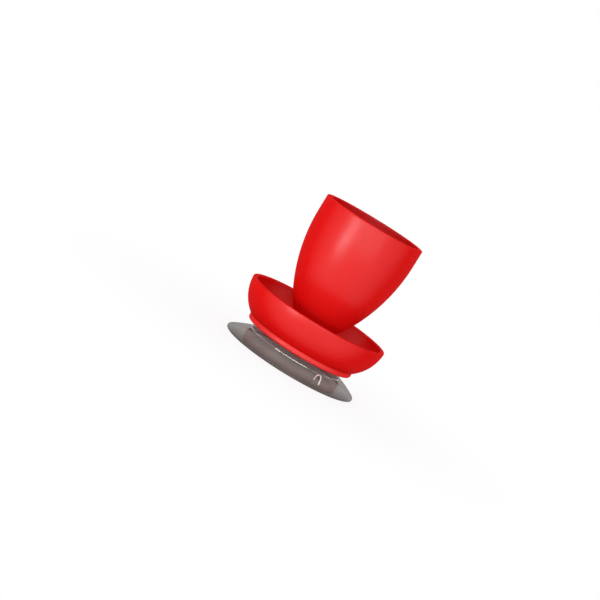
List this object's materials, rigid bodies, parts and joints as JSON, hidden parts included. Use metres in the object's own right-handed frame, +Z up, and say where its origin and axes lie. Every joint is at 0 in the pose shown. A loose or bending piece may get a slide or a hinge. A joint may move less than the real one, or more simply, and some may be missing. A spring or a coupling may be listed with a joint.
{
  "type": "egg cup with suction foot",
  "caption": "Red moulded egg cup with an egg-shaped bowl and a drip saucer, standing on a smoke-grey suction pad that holds it to a table.",
  "frame": {"origin": "centre of the ring on which the suction pad rests, at table level", "axes": "+Z up along the cup's axis; -Y faces the viewer of the picture"},
  "size_m": [0.0638, 0.0638, 0.069],
  "materials": {
    "red_plastic": "moulded red plastic, satin gloss",
    "stud_plastic": "moulded red plastic, plain",
    "smoke_pvc": "soft see-through smoke-grey PVC, glossy"
  },
  "bodies": {
    "suction_foot": {"suction_pad": "smoke_pvc"},
    "stud": {"pad_stud": "stud_plastic"},
    "cup": {"egg_bowl": "red_plastic", "saucer": "red_plastic", "base_plate": "red_plastic"}
  },
  "joints": [
    {"name": "suction_press", "type": "slide", "parent": "suction_foot", "child": "stud", "axis": [0, 0, -1], "range_m": [0, 0.004], "stiffness_N_per_m": 6000, "deforming": ["suction_pad"]},
    {"name": "cup_swivel", "type": "hinge", "parent": "stud", "child": "cup", "pos_m": [0, 0, 0.009], "axis": [0, 0, 1], "continuous": true}
  ]
}
